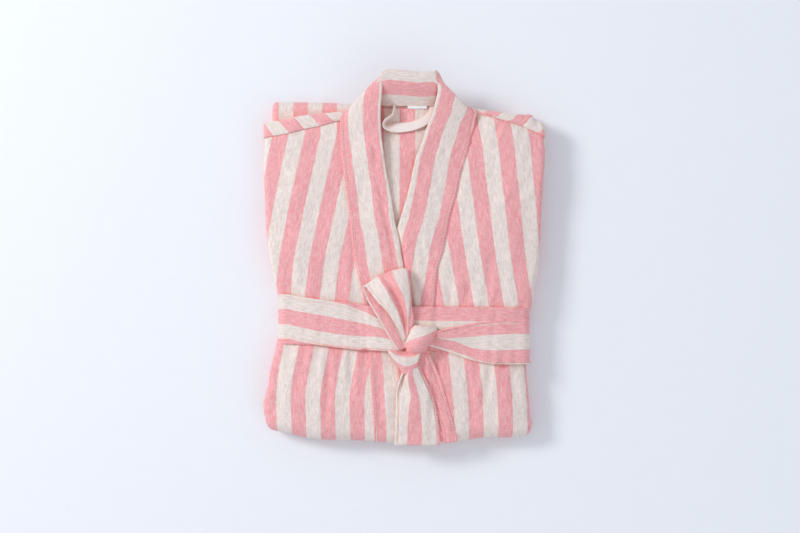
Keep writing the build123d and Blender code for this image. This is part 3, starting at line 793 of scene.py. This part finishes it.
def collar_band(side, name):
    """One half of the band: round the neck, down the front and on with the folded robe."""
    # places across the band, from its seam at 0 to its folded edge at 1
    b = np.concatenate([[0, 0.014, 0.028, 0.042, 0.056, 0.075], np.linspace(0.11, 0.955, 22),
                        [0.975, 1]])
    rows = []
    for points in (NECK_ROWS_RIGHT if side < 0 else NECK_ROWS_LEFT):
        lowered = [(x, y, NECK_LOW + (z - NECK_LOW) * NECK_STAND) for x, y, z in points]
        section = spline(list(zip(BAND_MARKS, lowered)))
        rows.append(section((1 - b) * BAND_MARKS[-1]))
    seam, inner = (seam_right, inner_right) if side < 0 else (seam_left, inner_left)
    welt = 2.3 - 0.3 * smooth((b - 0.05) / 0.08) - 0.4 * smooth((b - 0.94) / 0.06)
    for y in np.arange(146, -205, -6.5):
        slant = 5.0 * smooth((y - 40) / 90.0) if side > 0 else 0.0
        y_row = y + slant * (1 - b)
        x = seam(y_row) * (1 - b) + inner(y_row) * b
        lift = welt + 7.0 * b * smooth((y - 55) / 110.0) + 0.5 * np.sin(b * math.pi)
        under = 0.0
        if side > 0:  # the left band goes under the right one
            under = 3.9 * smooth((inner_right(y_row) - x + 7) / 7.0) * smooth((48 - y) / 25.0)
        rows.append(np.stack([x, y_row, top_height(x, y_row) + lift - under], -1))
    x = float(seam(FRONT_LOW_Y)) * (1 - b) + float(inner(FRONT_LOW_Y)) * b
    for u in stations(1.0, 5.0)[1:]:
        out = np.full_like(b, 1.5) if side < 0 else np.where(x < band_end_right + 2, -2.6, 1.0)
        if u > 2:
            out = out - 1.2 if side < 0 else out - 0.8
        rows.append(bundle_point(x, np.full_like(b, u), out))
    rows = np.array(rows)
    lengths = distances(rows.mean(axis=1))
    curve = spline([(a, r.ravel()) for a, r in zip(lengths, rows)])
    fine_until = 560.0
    marks = np.concatenate([np.arange(0, fine_until, 2.4), np.arange(fine_until, lengths[-1], 5.0),
                            lengths[-1:]])
    grid = curve(marks).reshape(len(marks), len(b), 3)
    from_fold = across_rows(grid[:, ::-1])[:, ::-1] * BAND_SPREAD
    drift = (drift_right if side < 0 else drift_left)(grid[:, -1, 1])
    fold_place = (FOLD_PLACE - np.where(marks < 440, drift, 0.0))[:, None]
    uv = on_cloth(np.minimum(fold_place + from_fold, 55.8), marks[:, None])
    uv_inner = on_cloth(FOLD_PLACE - 3.2 - from_fold, marks[:, None])
    shown = smooth((marks - 30.0) / 20.0)[:, None] if side < 0 else 1.0
    inset = 3.4
    relief = stitched_edge(from_fold[:, :1] - from_fold, inset) * shown
    if side < 0:  # a soft crease runs down the right band
        y_edge = grid[:, -1:, 1]
        reach = smooth((150 - y_edge) / 30.0) * smooth((y_edge - 5) / 30.0) * (marks < 300)[:, None]
        relief = relief - 1.0 * reach * np.exp(-(((from_fold - 12.0) / 3.2) ** 2))
    line, ups = line_on(grid, inset)
    pick = (marks > (95.0 if side < 0 else 70.0)) & (marks < 520)
    COLLAR_STITCHES.append((line[pick], ups[pick] * np.sign(ups[pick][:, 2:3])))
    if side > 0:
        grid, uv, uv_inner, relief = flipped(grid, uv, uv_inner, relief)
    rounded_sheet(name, grid, uv, BAND_THICK, uv_inner=uv_inner, relief=relief)


# ------------------------------------------------------------------ sleeves and carriers
def sleeve(side, name):
    """A sleeve laid flat between the body and the hem: two layers joined along both sides."""
    x_low, x_high = (-147.0, -12.0) if side < 0 else (12.0, 143.0)
    ys = np.linspace(140, -190, 40)
    across = np.linspace(0, 1, 20)
    turn = np.linspace(-math.pi / 2, math.pi / 2, 6)[1:-1]
    low, high = 22.2, 24.6  # of the two layers
    mid, half = (low + high) / 2, (high - low) / 2
    upper = np.stack([x_low + (x_high - x_low) * across, np.full(20, high)], -1)
    right = np.stack([x_high + half * np.cos(turn), mid - half * np.sin(turn)], -1)
    lower = np.stack([x_high + (x_low - x_high) * across, np.full(20, low)], -1)
    left = np.stack([x_low - half * np.cos(turn), mid + half * np.sin(turn)], -1)
    loop = np.concatenate([upper, right, lower, left, upper[:1]])
    grid = np.stack([np.stack([loop[:, 0], np.full(len(loop), y), loop[:, 1]], -1) for y in ys])
    rounded_sheet(name, grid, on_cloth(distances(loop), (140 - ys)[:, None]), 0.8)


def belt_carrier(side, name):
    """A belt carrier, folded inside: a short flat strip of doubled cloth."""
    c, t = np.linspace(-0.5, 0.5, 7), np.linspace(0, 1, 30)[:, None]
    grid = np.stack(np.broadcast_arrays(side * 37.0 + c * 8.0, -118.0 - t * 54.0, 26.5), axis=-1)
    rounded_sheet(name, grid, on_cloth(c * 8.0, t * 60), 1.4)


# ------------------------------------------------------------------ belt
def over_side(side, outside, lift, y):
    """Rows of a belt layer round one side of the bundle, from the front to underneath. outside
    is its distance from the bundle, y the place of each column along the robe."""
    half, low = SIDE_OF_BELT + outside, 3.3 - 0.55 * outside
    bend = half - SIDE_CURVE
    top = skin(side * bend, y) + lift
    rows = []
    for angle in np.linspace(0, math.pi / 2, 9):
        rows.append((bend + SIDE_CURVE * math.sin(angle), top - SIDE_CURVE * (1 - math.cos(angle))))
    for share in np.linspace(0, 1, 5)[1:-1]:
        rows.append((half, (top - SIDE_CURVE) * (1 - share) + (low + SIDE_CURVE) * share))
    for angle in np.linspace(math.pi / 2, math.pi, 9):
        z = low + SIDE_CURVE * (1 + math.cos(angle)) + 0 * y
        rows.append((bend + SIDE_CURVE * math.sin(angle), z))
    return np.array([np.stack([side * x + 0 * y, y, z], -1) for x, z in rows])


def belt_first_turn():
    """The first turn on the front, and its two sides."""
    top_line = spline([(-160, -52.5), (-110, -54), (-67, -55), (-45, -59), (0, -60), (41, -60.5),
                       (160, -61.5)])
    c = np.concatenate([np.linspace(0, 1, 23), [0.055, 0.07, 0.08, 0.1, 0.9, 0.92, 0.93, 0.945]])
    down = np.unique(c) * BELT_WIDTH
    middle_rows = []
    for x in np.arange(-140, 141, 3.2):
        y = top_line(x) - down
        middle_rows.append(np.stack([np.full_like(down, x), y, skin(x, y) + 2.5], -1))
    left = over_side(-1, 1.9, 2.5, top_line(-145.0) - down)[::-1]
    right = over_side(1, 1.9, 2.5, top_line(145.0) - down)
    grid = np.concatenate([left, np.array(middle_rows), right])
    uv = on_cloth(down + 2.5, running_length(grid)[:, None])
    inset, hidden_rows = 4.2, 54  # the stitches show only to the right of the bow
    BELT_STITCHES.append(line_on(grid[len(left) + hidden_rows:], inset))
    rounded_sheet("belt_first_turn", grid, uv, BELT_THICK, relief=strip_relief(uv, inset))


def belt_first_turn_under():
    """The same turn where it crosses the underside."""
    xs = np.linspace(-138, 138, 60)
    down = np.linspace(0, 1, 19) * BELT_WIDTH
    y = spline([(-160, -52.5), (0, -58), (160, -61.5)])(xs)[:, None] - down
    grid = np.stack([np.repeat(xs[:, None], len(down), 1), y, np.full_like(y, 2.6)], -1)
    uv = on_cloth(down + 2.5, running_length(grid)[:, None])
    rounded_sheet("belt_first_turn_under", grid, uv, 1.3)


def belt_end(side, name, lines, marks, under_y, edges):
    """One end of the belt: under the bundle, round its side and over the front to the knot.
    lines are the guide curves on the front, from the side to the knot, upper edge first;
    edges is how strongly the topstitching shows at the upper and the lower edge."""
    shares = [(m - marks[0]) / (marks[-1] - marks[0]) for m in marks]
    y_side = np.array([line[0][1] for line in lines])
    y_under = np.array([under_y[0] + (under_y[1] - under_y[0]) * s for s in shares])
    ring = over_side(side, 4.1, 4.9, y_side)[::-1]
    for number, row in enumerate(ring):
        share = smooth(number / (len(ring) - 8.0))
        row[:, 1] = y_under * (1 - share) + y_side * share
    under_xs = np.linspace(side * 2.0, side * 138, 18)
    guides = []
    for k, line in enumerate(lines):
        below = [(x, y_under[k], 1.05) for x in under_xs]
        guides.append(below + [tuple(row[k]) for row in ring] + list(line))
    grid, uv, _ = guided(guides, 190, [7] * (len(lines) - 1), marks)
    on_top, inset = grid[80:-14], 3.2
    BELT_STITCHES.extend(line_on(on_top, inset, last) for last in (False, True))
    from_top, from_low = uv[..., 0] - marks[0], marks[-1] - uv[..., 0]
    relief = edges[0] * stitched_edge(from_top, inset) + edges[1] * stitched_edge(from_low, inset)
    if side < 0:
        grid, uv, relief = flipped(grid, uv, relief)
    rounded_sheet(name, grid, uv, BELT_THICK, relief=relief)


def on_front(points, lift):
    """Guide points on the front, lift mm over the cloth; each point may add its own rise."""
    placed = []
    for x, y, *rise in points:
        placed.append((float(x), float(y), float(skin(x, y)) + lift + (rise[0] if rise else 0.0)))
    return placed


def belt_ends():
    right = [
        [(-143, -45.6), (-132, -47.6), (-112, -50.5), (-91.5, -53.6), (-67.4, -59), (-53, -64.6),
         (-40, -70, 1), (-27, -77, 2.4), (-12, -94, 3)],
        [(-143, -62.8), (-132, -65), (-112, -68.2), (-91.5, -72), (-67.4, -76.7), (-53, -79.6),
         (-40, -82.5, 2), (-26, -87, 4), (-11, -98, 5)],
        [(-143, -81.4), (-132, -83.8), (-112, -88), (-91.5, -91.5), (-67.4, -94.6), (-53, -95.8),
         (-41, -96, 2), (-26, -97, 4), (-10, -103, 5)],
        [(-143, -96.5), (-132, -99), (-112, -103.5), (-91.5, -106.7), (-67.4, -109.5), (-53, -110.5),
         (-40, -111, 1), (-24, -111.5, 2), (-9, -112, 3)],
        [(-143, -101), (-132, -102.6), (-112, -105.3), (-91.5, -107.8), (-67.4, -110.7), (-53, -112),
         (-40, -112.5), (-24, -113, 1), (-8, -114, 2)],
    ]
    belt_end(-1, "belt_end_right", [on_front(line, 4.9) for line in right],
             [20.0, 38.0, 57.0, 75.0, 78.0], (-42.5, -97.5), (0.3, 0.5))
    left = [
        [(134, -76.5), (113.5, -76.8), (91, -79), (67.7, -83.7, 1), (52, -87, 3), (41, -90, 5),
         (24, -97, 5)],
        [(134, -93.2), (101, -94.6), (86, -96), (72, -97, 1), (52, -98, 3), (41, -98.3, 6),
         (24, -99, 6)],
        [(134, -112.3), (101.4, -112.7), (92, -111.8), (82, -109.8), (60.4, -101.8, 2),
         (42, -99, 5), (24, -100, 6)],
        [(134, -128.6), (113.5, -128.3), (89.4, -124.7), (77.3, -120.2), (53.2, -111.5, 1),
         (34, -106.5, 4), (22, -104, 4)],
        [(134, -129.2), (113.5, -129.2), (89.4, -126), (77.3, -122.8), (53.2, -114.8),
         (34, -109, 2), (22, -106, 3)],
    ]
    belt_end(1, "belt_end_left", [on_front(line, 4.9) for line in left],
             [4.0, 19.0, 38.0, 57.0, 60.0], (-74, -126), (1.0, 0.6))


def rolled_ribbon(name, centre, radii, arches, ups, stripe_mid, stripe_width):
    """A turn of the belt: a band curled about its own centreline by arch degrees each way."""
    rows = 30
    line = along(centre, rows)
    at = np.linspace(0, 1, rows)
    keys = np.linspace(0, 1, len(centre))
    radius = np.interp(at, keys, radii)
    arch = np.radians(np.interp(at, keys, arches))
    up = np.stack([np.interp(at, keys, [u[k] for u in ups]) for k in range(3)], -1)
    tangent = unit(np.gradient(line, axis=0))
    up = unit(up - tangent * (up * tangent).sum(1, keepdims=True))
    side = np.cross(tangent, up)
    c = np.linspace(-1, 1, 25)
    angle = c[None, :] * arch[:, None]
    grid = (line[:, None] + side[:, None] * (radius[:, None] * np.sin(angle))[..., None]
            + up[:, None] * (radius[:, None] * (np.cos(angle) - 1))[..., None])
    crease = 0.45 * np.sin(c * 9.0)[None, :] * np.sin(at * math.pi)[:, None]
    grid += up[:, None] * crease[..., None]
    stripe = np.interp(at, keys, stripe_mid)[:, None] + c[None, :] * stripe_width / 2
    uv = on_cloth(stripe, running_length(grid)[:, None])
    rounded_sheet(name, *flipped(grid, uv), BELT_THICK)


def knot():
    centre = [(3, -114.5, 45), (6.5, -108.5, 51.5), (14.5, -101.6, 57), (24.5, -95.4, 56.5),
              (34, -90.3, 50), (40.5, -88, 42)]
    ups = [(-0.7, -0.3, 0.7), (-0.4, -0.1, 1), (-0.1, 0, 1), (0.2, 0, 1), (0.6, 0.2, 0.8),
           (1, 0.3, 0.4)]
    rolled_ribbon("knot_wrap", centre, [12, 15, 18.3, 16.8, 10.5, 6.5], [85, 88, 92, 92, 90, 90], ups,
                  [46.0, 43.0, 40.0, 38.5, 38.0, 38.0], 34.0)
    bight = [
        [(-23, -105, 41), (-13, -110, 43), (2, -112, 42.5), (16, -111, 42), (24, -105, 40)],
        [(-21, -111.5, 43), (-12, -118, 48.5), (3, -122, 51), (16, -118.5, 48.5), (23, -110, 42.5)],
        [(-18.5, -116.5, 43), (-8, -127.5, 50.5), (4, -131.5, 52.5), (14.5, -127.5, 50.5),
         (21.5, -115, 43)],
        [(-14.5, -120, 42), (-7, -133.5, 48), (3.5, -142.5, 49), (14, -134.5, 48), (19.5, -120, 42.5)],
        [(-12, -119, 40.5), (-5, -131, 41.5), (3.5, -138.5, 41.5), (12, -132, 41.5), (17, -119, 40.8)],
    ]
    grid, uv, _ = guided(bight, 44, [8, 7, 7, 5], [-28.0, -17.5, 0.0, 12.0, 18.5])
    rounded_sheet("knot_bight", *flipped(grid, uv), BELT_THICK)


def moving_part(name, guides, rows, gaps, marks, thickness, inner_marks=None, groove=1.0):
    """A part of the belt that a joint lifts, and its stitches; both are left without a body, with their
    placement baked into the mesh.
    """
    grid, uv, uv_inner = guided(guides, rows, gaps, marks, inner_marks)
    inset = 3.0
    piece = rounded_sheet(name, grid, uv, thickness, body=None, uv_inner=uv_inner,
                          relief=groove * strip_relief(uv, inset))
    lines = [line_on(grid[3:-3], inset, last) for last in (False, True)]
    thread = thread_piece(name, lines, moves=True)
    for part in (piece, thread):
        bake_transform(part)


def bow_loop():
    """Half bow: up from the knot, over at its tip and back down on top of itself."""
    below = [
        [(-8, -112, 11), (-17.5, -97, 11), (-27.5, -80, 10), (-37, -63.5, 6.5), (-45.2, -50, 2.5),
         (-49.3, -36, 2)],
        [(0, -110, 9), (-9, -93, 9.5), (-17, -78, 8.5), (-27, -60, 5), (-34, -44, 2), (-39, -30, 2)],
        [(2, -109, 7.5), (-5, -91.5, 7.2), (-12, -75.5, 5.8), (-20.6, -56.5, 3),
         (-26.8, -39.5, 1.4), (-31, -26.5, 2)],
        [(4, -108, 6), (0, -90, 5), (-5, -72, 3), (-12, -52, 1), (-17, -34, 1), (-21, -22, 2)],
        [(7, -106, 6), (6, -88, 5), (4, -68, 3), (1, -46, 1), (-1, -28, 1), (-3, -16, 2)],
        [(9, -104, 7), (10.5, -86, 5.5), (9, -68, 3.5), (7.5, -48, 1.5), (7, -34, 1.5),
         (4.5, -21, 2.5)],
    ]
    above = [
        [(-48.3, -34, 5), (-40, -43.5, 8.5), (-33.6, -52, 10.5), (-19.5, -67, 12), (-7.5, -86, 12.5),
         (0, -101, 11)],
        [(-33.5, -23.5, 6), (-27, -31, 13.5), (-19.5, -43, 16.5), (-10.3, -60, 16), (-3, -79, 13),
         (2, -98, 11)],
        [(-26, -20.5, 6), (-21, -27.5, 10.5), (-14.5, -38.5, 11.5), (-6, -57, 9.5), (-0.3, -76, 9),
         (2.8, -96, 11)],
        [(-16, -16.3, 6), (-12.5, -22, 13.5), (-8.3, -31, 17), (0.2, -50, 16.5), (3.5, -70, 13),
         (4, -94, 12)],
        [(2, -13, 6), (4.2, -24, 13), (6.2, -36, 16), (7, -56, 15), (5, -76, 12), (5, -92, 12)],
        [(5.4, -20, 5), (7.5, -31, 9.5), (8.4, -42, 11.5), (9.4, -58, 11), (12, -76, 9.5),
         (8, -90, 10.5)],
    ]
    guides = [on_front(b + a, 0.0) for b, a in zip(below, above)]
    moving_part("bow_loop", guides, 96, [8, 4, 5, 8, 3], [-17.0, 0.0, 8.0, 19.0, 38.0, 43.5], 1.8,
                [-1.8, 17.0, 25.0, 36.0, 55.0, 58.0], groove=0.3)


def belt_tails():
    front = [
        [(7, -126, 7), (-0.5, -139, 6), (-5, -151, 4), (-8.5, -163, 1.6), (-9.6, -182),
         (-10.7, -204), (-11.2, -228, -2)],
        [(8, -126, 7), (0.5, -140, 1), (-3, -151, -0.8), (-4.5, -163, 0.4), (-2, -182, 1),
         (-2.5, -204, 1), (-3, -228, -1.5)],
        [(9, -126, 8), (4.5, -142, 9), (5.5, -155, 7), (7.9, -166, 3), (6, -182, 1.4),
         (4.3, -204, 1), (3.8, -228, -1.5)],
        [(11, -126, 9), (11, -141, 9), (15, -157, 5), (18, -169, 3), (20, -184, 1.2),
         (21.4, -204, 0.7), (21.9, -228, -1.5)],
        [(14, -126, 6), (22, -144, 5), (29, -160, 4), (34, -174, 2), (36.8, -186, 1),
         (39.5, -204, 0.5), (40.7, -228, -1.8)],
        [(16, -126, 1), (25, -144, 0), (32, -160, -0.4), (37, -174, -0.6), (39.8, -186, -0.8),
         (42.3, -204, -0.8), (43.7, -228, -2.6)],
    ]
    moving_part("belt_tail_front", [on_front(line, 4.2) for line in front], 60, [4, 4, 7, 7, 3],
                [22.0, 29.5, 38.0, 57.0, 76.0, 79.0], 1.8)
    back = [
        [(17, -112, 4), (17, -130, 3), (20, -150, 0.5), (28, -168, 0), (36.5, -186), (44, -204),
         (49.4, -226, -1)],
        [(24, -111, 5), (25, -125, 5), (31.5, -145, 2.4), (40, -167, 1.5), (47, -185, 1.2),
         (52.8, -204, 1.2), (57.3, -225, 0)],
        [(29, -108, 4), (32.5, -119, 4), (41, -139, 1.5), (49.6, -165.7, 0.6), (55, -184, 0.3),
         (60.8, -203), (65.3, -224, -1)],
    ]
    moving_part("belt_tail_back", [on_front(line, 1.9) for line in back], 50, [8, 8],
                [1.0, 9.0, 17.5], 1.6)


# ------------------------------------------------------------------ neck fittings
def hanger_loop():
    """A strap with both ends in the neck seam, turned on edge at the twist near one of them."""
    z = TOP - BACK_DROP
    centre = [(-10.5, 186, z), (-11, 179, z + 5), (-12.5, 173.5, z + 7), (-17, 169.5, z + 7.5),
              (-22, 166, z + 6.5), (-23.5, 161, z + 4.5), (-18, 158.6, z + 3.2), (-8, 158.2, z + 3),
              (2, 159, z + 3), (14, 161.5, z + 3), (26, 167, z + 3), (34, 175, z + 2.5), (36, 185, z)]
    rows = 70
    line = along(centre, rows)
    tangent = unit(np.gradient(line, axis=0))
    at = np.linspace(0, 1, rows)
    roll = np.radians(np.interp(at, [0, 0.08, 0.2, 0.28, 0.35, 0.45, 0.7, 0.85, 1],
                                [68, 72, 80, 78, 48, 14, 18, 16, 0]))
    upward = np.array([0, 0, 1.0])
    side = unit(np.cross(tangent, upward)) * np.cos(roll)[:, None] + upward * np.sin(roll)[:, None]
    width = np.interp(at, [0, 0.15, 0.5, 0.85, 1], [9.0, 10.5, 12, 11, 9])
    c = np.linspace(-0.5, 0.5, 9)
    grid = line[:, None] + side[:, None] * (c[None, :] * width[:, None])[..., None]
    grid[..., 2] += 0.6 * np.cos(c * math.pi)[None, :]
    uv = on_cloth(c * 10, running_length(grid)[:, None])
    piece = rounded_sheet("hanger_loop", *flipped(grid, uv), 1.3, "cream_cotton", body=None)
    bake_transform(piece)


def neck_label():
    """A tape folded end to end, with both ends in the seam."""
    z = TOP - BACK_DROP
    path = along([(186.6, z + 1.0), (184, z + 1.9), (181.9, z + 1.7), (181.1, z + 1.15),
                  (181.9, z + 0.7), (184, z + 0.7), (186.6, z + 0.3)], 26)
    xs = np.linspace(4.5, 28, 20)
    grid = np.array([[(x, y, height + 0.2 * math.sin(x * 0.5)) for x in xs] for y, height in path])
    uv = np.stack(np.meshgrid(xs, np.linspace(0, 11, 26)), axis=-1)
    piece = rounded_sheet("neck_label", grid, uv, 0.3, "label_tape", body=None)
    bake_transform(piece)


# ------------------------------------------------------------------ sewing thread
def stitch_row(points, ups, pitch=4.0, length=2.9, radius=0.5):
    """Vertices and faces of short rounded stitches along a line lying on the cloth."""
    lengths = distances(points)
    vertices, faces = [], []
    for start in np.arange(1.0, lengths[-1] - length, pitch):
        spots = [start, start + length * 0.25, start + length * 0.75, start + length]
        ring_centres = np.stack([np.interp(spots, lengths, points[:, k]) for k in range(3)], -1)
        up = np.stack([np.interp(spots, lengths, ups[:, k]) for k in range(3)], -1)
        tangent = ring_centres[-1] - ring_centres[0]
        tangent /= max(np.linalg.norm(tangent), 1e-9)
        base = len(vertices)
        sinks, sizes = (-0.25, 0.12, 0.12, -0.25), (0.5, 1.0, 1.0, 0.5)
        for centre, u, sink, r in zip(ring_centres, up, sinks, sizes):
            side = np.cross(tangent, u)
            for a in np.linspace(0, 2 * math.pi, 7)[:-1]:
                vertices.append(centre + u * sink + (side * math.cos(a) + u * math.sin(a)) * radius * r)
        for ring in range(3):
            for k in range(6):
                a, b = base + ring * 6 + k, base + ring * 6 + (k + 1) % 6
                faces.append((a, b, b + 6, a + 6))
        faces.append(tuple(base + k for k in range(5, -1, -1)))
        faces.append(tuple(base + 18 + k for k in range(6)))
    return vertices, faces


def thread_piece(name, lines, material="sewing_thread", moves=False, **stitch):
    """All the stitches of one seam: lines are (points, upward directions). Stitches that move have no
    node of their own and are left without a body."""
    vertices, faces = [], []
    for points, ups in lines:
        v, f = stitch_row(points, ups, **stitch)
        faces += [tuple(i + len(vertices) for i in face) for face in f]
        vertices += v
    mesh = bpy.data.meshes.new(name)
    mesh.from_pydata([tuple(c * MM for c in v) for v in vertices], [], faces)
    mesh.polygons.foreach_set("use_smooth", np.ones(len(mesh.polygons), bool))
    mesh.materials.append(materials[material])
    piece = bpy.data.objects.new(name + "_thread", mesh)
    bpy.context.scene.collection.objects.link(piece)
    if not moves:
        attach(piece, "robe")
        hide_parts(name)
    return piece


def with_upward(line):
    """A line of stitches on cloth that lies flat."""
    return line, np.tile((0, 0, 1.0), (len(line), 1))


def threads():
    thread_piece("collar_topstitch", COLLAR_STITCHES)
    shoulders = []
    for seam, x_from, x_to in ((shoulder_right, -66, -168), (shoulder_left, 98, 160)):
        xs = np.linspace(x_from, x_to, 80)
        ys = seam(xs)
        shoulders.append(with_upward(np.stack([xs, ys + 1.4, top_height(xs, ys) + 1.5], -1)))
    thread_piece("shoulder_topstitch", shoulders, pitch=3.4, length=2.2, radius=0.3)
    thread_piece("belt_topstitch", BELT_STITCHES)
    xs = np.linspace(-27, 37, 640)
    ys = 182.9 + 1.3 * np.arcsin(np.sin(xs * 3.4)) / (math.pi / 2)  # a zigzag over the seam
    line = np.stack([xs, ys, top_height(xs, ys) - BACK_DROP + neck_rise(xs, ys) + 0.7], -1)
    thread_piece("neck_overlock_thread", [with_upward(line)], "overlock_thread",
                 pitch=1.45, length=1.35, radius=0.34)


# ------------------------------------------------------------------ stage, in metres
FLOOR_HALF = 6.0
CAMERA_HEIGHT = 1.85
PICTURE_WIDTH = 0.976  # what the picture spans at the height of the cloth
CLOTH_HEIGHT = 0.033
SENSOR = 36.0


def square_lamp(name, place, width, power, colour):
    """An area lamp that points at the robe."""
    data = bpy.data.lights.new(name, "AREA")
    data.shape, data.size, data.size_y = "RECTANGLE", width, width
    data.energy, data.color = power, colour
    lamp = bpy.data.objects.new(name, data)
    lamp.location = place
    direction = -np.array(place) / np.linalg.norm(place)
    lamp.rotation_euler = Vector(direction).to_track_quat("-Z", "Y").to_euler()
    bpy.context.scene.collection.objects.link(lamp)


def stage():
    scene = bpy.context.scene
    mesh = bpy.data.meshes.new("floor")
    corners = [(x * FLOOR_HALF, y * FLOOR_HALF, 0) for x, y in ((-1, -1), (1, -1), (1, 1), (-1, 1))]
    mesh.from_pydata(corners, [], [(0, 1, 2, 3)])
    mesh.materials.append(floor_material())
    floor = bpy.data.objects.new("floor", mesh)
    scene.collection.objects.link(floor)

    square_lamp("key", (-2.4, 1.15, 1.9), 0.85, 55.0, (1.0, 0.99, 0.98))
    square_lamp("fill", (1.3, -1.7, 2.0), 2.4, 8.0, (0.94, 0.96, 1.0))
    scene.world = bpy.data.worlds.new("soft_studio")
    scene.world.use_nodes = True
    background = scene.world.node_tree.nodes["Background"]
    background.inputs["Color"].default_value = (0.915, 0.955, 1.0, 1)
    background.inputs["Strength"].default_value = 0.675
    scene.view_settings.view_transform = "Standard"
    scene.view_settings.look = "None"

    data = bpy.data.cameras.new("camera")
    data.sensor_width = SENSOR
    data.lens = SENSOR * (CAMERA_HEIGHT - CLOTH_HEIGHT) / PICTURE_WIDTH
    camera = bpy.data.objects.new("camera", data)
    camera.location = (-0.005, -0.011, CAMERA_HEIGHT)
    scene.collection.objects.link(camera)
    scene.camera = camera


# ------------------------------------------------------------------ the part
SIDES = ((-1, "right"), (1, "left"))  # the wearer's right is on the left of the picture
stage()
for side, hand in SIDES:
    front_panel(side, "front_panel_" + hand)
back_panel()
for make, name in ((shoulder_roll, "back_shoulder_"), (collar_band, "collar_band_"),
                   (sleeve, "sleeve_"), (belt_carrier, "belt_carrier_")):
    for side, hand in SIDES:
        make(side, name + hand)
belt_first_turn()
belt_first_turn_under()
belt_ends()
knot()
bow_loop()
belt_tails()
hanger_loop()
neck_label()
threads()
